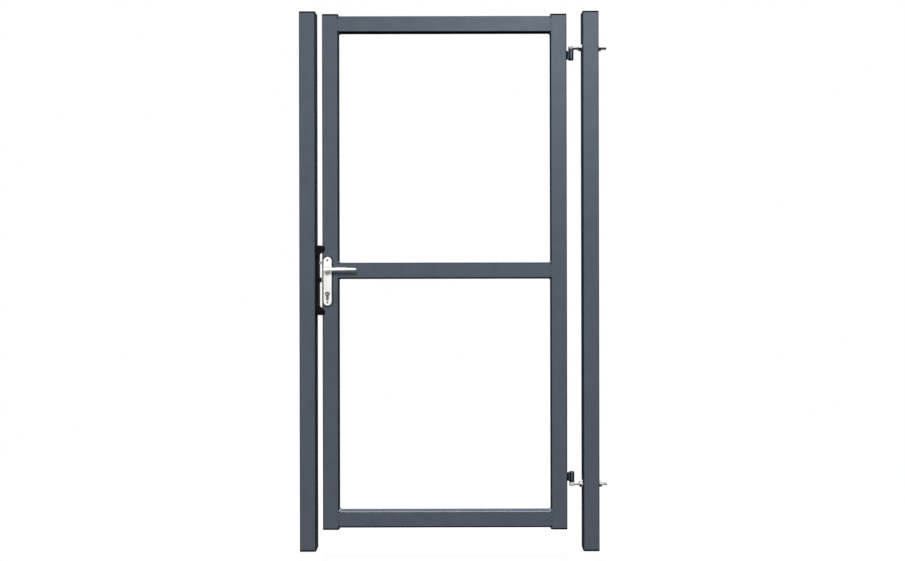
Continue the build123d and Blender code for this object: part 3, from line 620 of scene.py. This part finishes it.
def make_hinge_nuts():
    """A nut on each side of the post on both eye bolts, corners up."""
    low, high = box_mm("hinge_nuts")
    washer_low, washer_high = box_mm("hinge_washers")
    thickness = high.x - washer_high.x
    across = (high.y - low.y) * math.cos(math.radians(30))
    corner_up = Matrix.Rotation(math.radians(90), 4, "Z")
    shapes = []
    for eye_bolt in ["lower_eye_bolt", "upper_eye_bolt"]:
        bolt_low, bolt_high = box_mm(eye_bolt)
        height = (bolt_low.z + bolt_high.z) / 2
        bore = (bolt_high.z - bolt_low.z) / 2 - thread_depth
        for start, outward in [(washer_low.x, -1), (washer_high.x, 1)]:
            shapes.append((hex_nut(across, thickness, bore), along((outward, 0, 0), (start, 0, height)) @ corner_up))
    make_piece("chamfered_hinge_nuts", gather(shapes), "zinc_plated_steel", "posts", ["hinge_nuts"])


def make_hinge_barrel(level):
    """A barrel with rounded ends, the pin in it, and the tab that is welded to the stile."""
    barrel, pin = level + "_hinge_barrel", level + "_hinge_pin"
    low, high = box_mm(barrel)
    pin_low, pin_high = box_mm(pin)
    stile = box_mm("hinge_stile")[1].x
    radius = (high.y - low.y) / 2
    pin_radius = (pin_high.y - pin_low.y) / 2
    centre_x = high.x - radius
    edge = barrel_edge_radius
    sleeve = ([(0, low.z)] + quarter(radius - edge, low.z + edge, edge, -90)
              + quarter(radius - edge, high.z - edge, edge, 0) + [(0, high.z)])
    middle = (pin_low.z + pin_high.z) / 2
    tip = pin_high.z if level == "upper" else pin_low.z
    chamfer_end = tip + math.copysign(pin_tip_chamfer, middle - tip)
    peg = [(0, middle), (pin_radius, middle), (pin_radius, chamfer_end), (pin_radius - pin_tip_chamfer, tip), (0, tip)]
    tab_height = high.z - low.z - 2 * tab_inset
    tab = rounded_block((centre_x - stile + tab_sink, tab_thickness, tab_height), tab_edge_radius)
    axis = Matrix.Translation((centre_x, 0, 0))
    shapes = [(turn(sleeve, round_columns), axis), (turn(peg, rod_columns), axis),
              (tab, Matrix.Translation(((centre_x + stile - tab_sink) / 2, 0, (low.z + high.z) / 2)))]
    for side in [1, -1]:
        start = Matrix.Translation((stile, side * tab_thickness / 2, low.z + tab_inset))
        bead = weld_bead(tab_height, barrel_bead_leg, barrel_bead_leg, barrel_bead_phase * side)
        shapes.append((bead, start @ Matrix.Scale(side, 4, (0, 1, 0))))
    make_piece("welded_" + barrel, gather(shapes), "anthracite_powder_coat", "leaf", [barrel, pin])


# Welds: rippled fillets over and under each rail end, and low dressed seams in front and behind
def wander(waves, height, phase):
    """How far a weld strays at a height, from a few waves that don't keep step."""
    return sum(share * math.sin(height / length + shift * phase) for share, length, shift in waves)


def weld_bead(length, leg_x, leg_y, phase):
    """A fillet weld up +Z in the corner of +X and +Y, with the ripples of its pools and a wandering width."""
    outline = [(-bead_sink, -bead_sink)] + [(x * leg_x, y * leg_y) for x, y in bead_outline]
    bm = sweep(outline, length, math.ceil(length / bead_step))
    for vert in bm.verts:
        x, y, z = vert.co
        if x < 0:
            continue
        share = y / leg_y / (x / leg_x + y / leg_y)
        lag = ripple_lag * bead_ripple * (1 - (2 * share - 1) ** 2)
        ripple = ripple_share * math.cos(2 * math.pi * (z + lag) / bead_ripple)
        ends = min(1.0, bead_end_share + bead_end_slope * min(z, length - z))
        vert.co.xy *= ends * (1 + ripple + wander(bead_wanders, z, phase))
    return bm


def weld_seam(length, phase):
    """A dressed butt weld up +Z: it fills the groove at y below 0 and stands a little proud, wavering."""
    outline = [(x, y * seam_crown) for x, y in seam_outline] + [(0.0, -seam_sink)]
    bm = sweep(outline, length, math.ceil(length / (2 * bead_step)))
    for vert in bm.verts:
        x, y, z = vert.co
        rounded = math.sin(math.pi * (0.5 + seam_end_slope * z) / (1 + seam_end_slope * length)) ** seam_end_power
        if y > -seam_sink / 2:
            vert.co.x = x * rounded + wander(seam_wanders, z, phase)
        if y > 0:
            lump = math.sin(z / seam_lump_length + seam_lump_shift * phase + x / seam_lump_skew)
            vert.co.y *= rounded * (1 + seam_lump_share * lump)
    return bm


def weld_dome():
    """The rounded lump in which a weld run ends."""
    bm = bmesh.new()
    bmesh.ops.create_icosphere(bm, subdivisions=3, radius=1.0)
    bmesh.ops.scale(bm, vec=dome_size, verts=bm.verts)
    return bm


def make_frame_welds():
    """The welds at both ends of all rails; the top rail's are slim above, where they would show against the sky."""
    lock_stile, hinge_stile = box_mm("lock_stile"), box_mm("hinge_stile")
    depth = lock_stile[1].y - lock_stile[0].y
    run = depth - 2 * tube_corner + 2 * bead_overrun
    shapes = []
    phase = 0.0
    for rail, over, under, stop_short in [("top_rail", slim_bead_leg, bead_leg, seam_short),
                                          ("middle_rail", bead_leg, bead_leg, 0.0),
                                          ("bottom_rail", bead_leg, full_bead_leg, 0.0)]:
        low, high = box_mm(rail)
        for face, inward in [(lock_stile[1].x, 1), (hinge_stile[0].x, -1)]:
            for height, up, leg in [(high.z, 1, over), (low.z, -1, under)]:
                phase += phase_step
                place = Matrix.Translation((face, run / 2, height))
                legs = Matrix(((inward, 0, 0, 0), (0, 0, -1, 0), (0, up, 0, 0), (0, 0, 0, 1)))
                shapes.append((weld_bead(run, min(leg, bead_leg), leg, phase), place @ legs))
            for back in [1, -1]:
                phase += phase_step
                turned = Matrix.Scale(inward, 4, (1, 0, 0)) @ Matrix.Scale(back, 4, (0, 1, 0))
                length = high.z - low.z - 2 * tube_corner - stop_short
                place = Matrix.Translation((face, back * depth / 2, low.z + tube_corner))
                shapes.append((weld_seam(length, phase), place @ turned))
                if rail != "top_rail":
                    top = Matrix.Translation((face, back * (depth / 2 - dome_sink), high.z + dome_rise))
                    shapes.append((weld_dome(), top @ turned))
    make_piece("rippled_frame_welds", gather(shapes), "anthracite_powder_coat", "leaf", ["frame_welds"],
               weld_crease_angle, flowed_powder_coat)


# Screws: low heads with a cross recess
def cross_screw(head, head_depth, shank, length):
    """A screw along -Z whose head lies under z 0, with a cross recess."""
    edge = head_edge_radius
    profile = [(0, -recess_depth), (recess_half_width, -recess_depth), (recess_arm, -recess_lip_depth),
               (recess_arm + recess_lip, 0)]
    profile += list(reversed(quarter(head - edge, -edge, edge, 0)))
    profile += [(head, -head_depth), (shank, -head_depth), (shank, screw_tip - length), (shank - screw_tip, -length),
                (0, -length)]
    bm = turn(profile, screw_columns)
    for vert in bm.verts:
        reach = vert.co.xy.length
        if vert.co.z > -head_depth and abs(reach - recess_arm) < same_place:
            angle = math.atan2(vert.co.y, vert.co.x) % (math.pi / 2)
            arm = min(angle, math.pi / 2 - angle)
            limit = min(recess_arm / math.cos(arm), recess_half_width / max(math.sin(arm), least_sine))
            vert.co.xy *= max(limit, recess_half_width * recess_corner_share) / reach
    return bm


def make_plate_screws():
    """Two screws in each backplate, each stopped at an angle of its own."""
    low, high = box_mm("plate_screws")
    face = box_mm("front_backplate")[0].y
    head = (high.x - low.x) / 2
    x = (high.x + low.x) / 2
    shapes = []
    for height in [low.z + head, high.z - head]:
        for side in [-1, 1]:
            place = along((0, side, 0), (x, -side * face - side * plate_screw_proud, height))
            turned = Matrix.Rotation(math.radians(plate_screw_turn + height % plate_screw_spread), 4, "Z")
            screw = cross_screw(head, plate_screw_head_depth, plate_screw_shank, plate_screw_length)
            shapes.append((screw, place @ turned))
    make_piece("cross_head_plate_screws", gather(shapes), "stainless_steel", "leaf", ["plate_screws"],
               finish=dull_screw_steel)


def make_side_screws(name, node, body, outward):
    """Screws along X whose heads face the other half of the gate."""
    low, high = box_mm(node)
    head = (high.y - low.y) / 2
    top = high.x if outward > 0 else low.x
    shapes = []
    for height in [low.z + head, high.z - head]:
        place = along((outward, 0, 0), (top, 0, height)) @ Matrix.Rotation(side_screw_turn + height, 4, "Z")
        screw = cross_screw(head, side_screw_head_depth, side_screw_shank_share * head, high.x - low.x)
        shapes.append((screw, place))
    make_piece(name, gather(shapes), "stainless_steel", body, [node])


# Lever handles: a domed neck with a tapered arm of oval section, and a socket screw in the neck
def make_lever(node, outward):
    """A lever whose neck ends in a dome and whose arm tapers to a round tip; outward is -1 in front of the leaf."""
    low, high = box_mm(node)
    neck = (high.z - low.z) / 2
    axis_x, axis_z = low.x + neck, (low.z + high.z) / 2
    stand = high.y - low.y
    root_y = high.y if outward < 0 else low.y
    profile = [(0, 0), (neck, 0), (neck, rosette_height),
               (neck - rosette_bevel[0], rosette_height + rosette_bevel[1]), (neck_waist, neck_waist_start)]
    for step in range(flare_steps):
        share = step / flare_steps
        widening = (neck_front - neck_waist) * share * share * (3 - 2 * share)
        profile.append((neck_waist + widening, stand - neck_flare + share * (neck_flare - neck_dome)))
    profile += quarter(neck_front - neck_dome, stand - neck_dome, neck_dome, 0, dome_steps) + [(0, stand)]
    length = high.x - axis_x
    angles = [step * 2 * math.pi / arm_columns for step in range(arm_columns)]
    arm = sweep([(math.cos(angle), math.sin(angle)) for angle in angles], length, arm_rings)
    for vert in arm.verts:
        # Rings lie closer together towards the tip, where the arm rounds off.
        share = 1 - (1 - vert.co.z / length) ** 2
        past = max(0.0, share * length - length + arm_tip_radius) / arm_tip_radius
        tip = max(arm_tip_least, math.sqrt(max(0.0, 1 - past * past)))
        half_height, half_depth = [a + (b - a) * share for a, b in zip(arm_root, arm_tip)]
        vert.co.x = vert.co.x * half_height * tip + arm_rise
        vert.co.y = vert.co.y * half_depth * tip + stand - half_depth
        vert.co.z = share * length
    turned = Matrix(((0, 0, 1, axis_x), (0, outward, 0, root_y), (1, 0, 0, axis_z), (0, 0, 0, 1)))
    neck_place = along((0, outward, 0), (axis_x, root_y, axis_z))
    bm = gather([(turn(profile, round_columns), neck_place), (arm, turned)])
    make_piece("domed_" + node, bm, "satin_aluminium", "handle", [node], lever_crease_angle)


def socket_screw(radius, length):
    """A headless screw along -Z, with a hexagon socket in its end at z 0."""
    socket = socket_share * radius
    profile = [(0, -socket), (socket, -socket), (socket, 0), (radius - grub_edge, 0), (radius, -grub_edge),
               (radius, -length), (0, -length)]
    bm = turn(profile, grub_columns)
    sixth = math.pi / 3
    for vert in bm.verts:
        if abs(vert.co.xy.length - socket) < same_place:
            vert.co.xy /= math.cos(math.atan2(vert.co.y, vert.co.x) % sixth - sixth / 2)
    return bm


def make_grub_screws():
    """The screws under both necks, level with the waist."""
    low, high = box_mm("lever_grub_screws")
    radius = (high.x - low.x) / 2
    lever_low, lever_high = box_mm("front_lever")
    underside = (lever_low.z + lever_high.z) / 2 - neck_waist - grub_proud
    shapes = []
    for y in [low.y + radius, high.y - radius]:
        place = along((0, 0, -1), ((low.x + high.x) / 2, y, underside))
        shapes.append((socket_screw(radius, grub_length), place))
    make_piece("socket_grub_screws", gather(shapes), "stainless_steel", "handle", ["lever_grub_screws"])


# Latch spring: a strip bowed between the latch and the back of the lock case
def make_latch_spring():
    """A bowed strip between the latch and the back of the case."""
    low, high = box_mm("latch_spring")
    half = spring_thickness / 2
    middle, span = (low.x + high.x) / 2, (high.x - low.x) / 2 - half
    shoulder = (low.z + high.z) / 2
    arch = high.z - half - shoulder
    line = [Vector((middle - span, low.z))]
    for step in range(arch_steps + 1):
        angle = math.pi * (1 - step / arch_steps)
        line.append(Vector((middle + span * math.cos(angle), shoulder + arch * math.sin(angle))))
    line.append(Vector((middle + span, low.z)))
    outside, inside = [], []
    for before, point, after in zip(line[:1] + line, line, line[1:] + line[-1:]):
        side = half * (after - before).orthogonal().normalized()
        outside.append(point + side)
        inside.append(point - side)
    upright = Matrix(((1, 0, 0, 0), (0, 0, 1, low.y), (0, 1, 0, 0), (0, 0, 0, 1)))
    bm = gather([(sweep(outside + inside[::-1], high.y - low.y, 1), upright)])
    spring = make_piece("bowed_latch_spring", bm, "spring_steel", "leaf", ["latch_spring"])
    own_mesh(spring)


# Mouldings: caps with a rim over the tube's end, and the keep's rounded stops
def make_cap(node, body, upward):
    """A plug-in cap whose rim laps over the tube's end; upward is 1 on a top end and -1 on a foot."""
    low, high = box_mm(node)
    half_x, half_y = (high.x - low.x) / 2 + cap_lap, (high.y - low.y) / 2 + cap_lap
    corner = tube_corner + cap_lap
    outline = []
    for side_x, side_y, start in [(1, 1, 0), (-1, 1, 90), (-1, -1, 180), (1, -1, 270)]:
        outline += quarter(side_x * (half_x - corner), side_y * (half_y - corner), corner, start)
    bm = sweep(outline, cap_rim, 1)
    top = [edge for edge in bm.edges if all(vert.co.z > cap_rim - same_place for vert in edge.verts)]
    bmesh.ops.bevel(bm, geom=top, offset=cap_edge_radius, affect="EDGES", segments=4, profile=0.5, material=-1)
    seat = high.z - cap_rim if upward > 0 else low.z + cap_rim
    over = Matrix.Rotation(0 if upward > 0 else math.pi, 4, "X")
    place = Matrix.Translation(((low.x + high.x) / 2, (low.y + high.y) / 2, seat)) @ over
    make_piece("rimmed_" + node, gather([(bm, place)]), "black_cap_plastic", body, [node])


def make_keep_stop(node, upward):
    """A rounded lobe in front of the stile, on a root against the post; upward is 1 at the keep's top end."""
    low, high = box_mm(node)
    root_x = box_mm("keep_latch_body")[1].x - low.x
    reach = high.x - low.x + stop_reach_more
    height = high.z - low.z
    nose_x, nose_z = reach - stop_nose_radius, height - stop_nose_radius
    outline = [(0, -stop_root)] + [(root_x + x, z - stop_root) for x, z in stop_fillet]
    for step in range(stop_nose_steps + 1):
        angle = math.radians(stop_nose_start + step * stop_nose_sweep / stop_nose_steps)
        outline.append((nose_x + stop_nose_radius * math.cos(angle), nose_z + stop_nose_radius * math.sin(angle)))
    outline.append((0, height))
    thickness = box_mm("lock_stile")[0].y - stop_stile_gap - low.y
    pad = sweep(outline, thickness, 1)
    front = [edge for edge in pad.edges if all(vert.co.z < same_place for vert in edge.verts)]
    bmesh.ops.bevel(pad, geom=front, offset=stop_edge_radius, affect="EDGES", segments=3, profile=0.5, material=-1)
    seat = low.z if upward > 0 else high.z
    upright = Matrix(((1, 0, 0, low.x), (0, 0, 1, low.y), (0, upward, 0, seat), (0, 0, 0, 1)))
    depth = high.y - low.y - thickness
    root = rounded_block((root_x, depth + stop_root_overlap, height), stop_root_edge)
    root_y = high.y - depth / 2 - stop_root_overlap / 2
    root_place = Matrix.Translation((low.x + root_x / 2, root_y, (low.z + high.z) / 2))
    make_piece("moulded_" + node, gather([(pad, upright), (root, root_place)]), "black_keep", "posts", [node])


make_eye_bolt("upper_eye_bolt")
make_eye_bolt("lower_eye_bolt")
make_hinge_nuts()
make_hinge_barrel("upper")
make_hinge_barrel("lower")
make_frame_welds()
make_plate_screws()
make_side_screws("cross_head_faceplate_screws", "faceplate_screws", "leaf", -1)
make_side_screws("cross_head_keep_screws", "keep_screws", "posts", 1)
make_lever("front_lever", -1)
make_lever("rear_lever", 1)
make_grub_screws()
make_latch_spring()
for post_side in ["lock", "hinge"]:
    make_cap(post_side + "_post_cap", "posts", 1)
for stile_side in ["lock", "hinge"]:
    make_cap(stile_side + "_stile_top_cap", "leaf", 1)
    make_cap(stile_side + "_stile_bottom_cap", "leaf", -1)
make_keep_stop("keep_upper_stop", 1)
make_keep_stop("keep_lower_stop", -1)


# Stage: pale floor, white surroundings and soft lamps
def seen_directly(tree):
    """1 for rays that the eye follows, straight, by reflection or through glass, and 0 for those that only light."""
    path = add(tree, "LightPath").outputs
    seen = add(tree, "Math", {0: path["Is Camera Ray"], 1: path["Is Glossy Ray"]}, operation="MAXIMUM")
    shown = add(tree, "Math", {0: seen.outputs["Value"], 1: path["Is Transmission Ray"]}, operation="MAXIMUM")
    return shown.outputs["Value"]


def make_floor():
    """A pale floor that is white to the eye, keeps the gate's shadow, and ends in the white around it."""
    bm = bmesh.new()
    bmesh.ops.create_grid(bm, x_segments=1, y_segments=1, size=floor_half * MM)
    mesh = bpy.data.meshes.new("floor")
    bm.to_mesh(mesh)
    bm.free()
    floor = bpy.data.objects.new("floor", mesh)
    bpy.context.scene.collection.objects.link(floor)
    material = bpy.data.materials.new("pale_floor")
    material.use_nodes = True
    tree = material.node_tree
    tree.nodes.clear()
    place = add(tree, "TexCoord").outputs["Object"]
    centre = Vector(floor_centre) * MM
    distance = add(tree, "VectorMath", {0: place, 1: centre}, operation="DISTANCE").outputs["Value"]
    fade_range = {"From Min": floor_fade[0] * MM, "From Max": floor_fade[1] * MM}
    fade = add(tree, "MapRange", {"Value": distance, **fade_range}).outputs["Result"]
    strength = add(tree, "Math", {0: seen_directly(tree), 1: floor_glow}, operation="MULTIPLY").outputs["Value"]
    paint = add(tree, "BsdfDiffuse", {"Color": linear("#585858")}).outputs["BSDF"]
    glow = add(tree, "Emission", {"Strength": strength}).outputs["Emission"]
    both = add(tree, "AddShader", {0: paint, 1: glow}).outputs["Shader"]
    clear = add(tree, "BsdfTransparent").outputs["BSDF"]
    mixed = add(tree, "MixShader", {0: fade, 1: both, 2: clear}).outputs["Shader"]
    add(tree, "OutputMaterial", {"Surface": mixed})
    mesh.materials.append(material)


def make_world():
    """White where it is seen, reflected or looked at through glass, and dim where it only lights."""
    world = bpy.data.worlds.new("white_studio")
    bpy.context.scene.world = world
    world.use_nodes = True
    tree = world.node_tree
    tree.nodes.clear()
    dim = add(tree, "Background", {"Color": linear("#dfe6f0"), "Strength": world_light}).outputs["Background"]
    white = add(tree, "Background", {"Color": linear("#ffffff"), "Strength": 1.0}).outputs["Background"]
    mixed = add(tree, "MixShader", {0: seen_directly(tree), 1: dim, 2: white}).outputs["Shader"]
    add(tree, "OutputWorld", {"Surface": mixed})


def make_lamp(name, place, target, width, height, watts):
    """A soft box that faces a target; lengths are in mm."""
    lamp = bpy.data.lights.new(name, "AREA")
    lamp.shape = "RECTANGLE"
    lamp.size = width * MM
    lamp.size_y = height * MM
    lamp.energy = watts
    box = bpy.data.objects.new(name, lamp)
    box.location = Vector(place) * MM
    box.rotation_euler = (Vector(target) - Vector(place)).to_track_quat("-Z", "Y").to_euler()
    box.visible_camera = False
    bpy.context.scene.collection.objects.link(box)


def make_camera():
    """The photograph's view: square to the gate, from the height and distance that its edges give."""
    lens = bpy.data.cameras.new("front_view")
    lens.sensor_width = sensor_width
    lens.lens = focal_pixels * sensor_width / image_width
    lens.shift_x = -shift_pixels[0] / image_width
    lens.shift_y = shift_pixels[1] / image_width
    camera = bpy.data.objects.new("front_view", lens)
    camera.location = Vector(camera_place) * MM
    camera.rotation_euler = (math.pi / 2, camera_roll, 0)
    bpy.context.scene.collection.objects.link(camera)
    bpy.context.scene.camera = camera


make_floor()
make_world()
make_lamp("front_soft_box", (-540, -11000, 4900), (-540, 0, 1000), 3000, 2200, 1165)
make_lamp("high_front_soft_box", (-500, -3000, 7000), (-540, 0, 1000), 1400, 1400, 180)
make_lamp("high_rear_soft_box", (-540, 6000, 9500), (-540, 0, 600), 3000, 3000, 1810)
make_lamp("corner_soft_box", (-180, -700, 2050), (-160, 0, 1900), 350, 350, 3.2)
# The side boxes are narrow and in line with the gate, so that each lights one post's outer face alone.
make_lamp("right_soft_box", (10500, 0, 1400), (30, 0, 1000), 160, 900, 700)
make_lamp("left_soft_box", (-11550, 0, 1400), (-1080, 0, 1000), 160, 900, 700)
make_camera()
bpy.context.scene.view_settings.view_transform = "Standard"
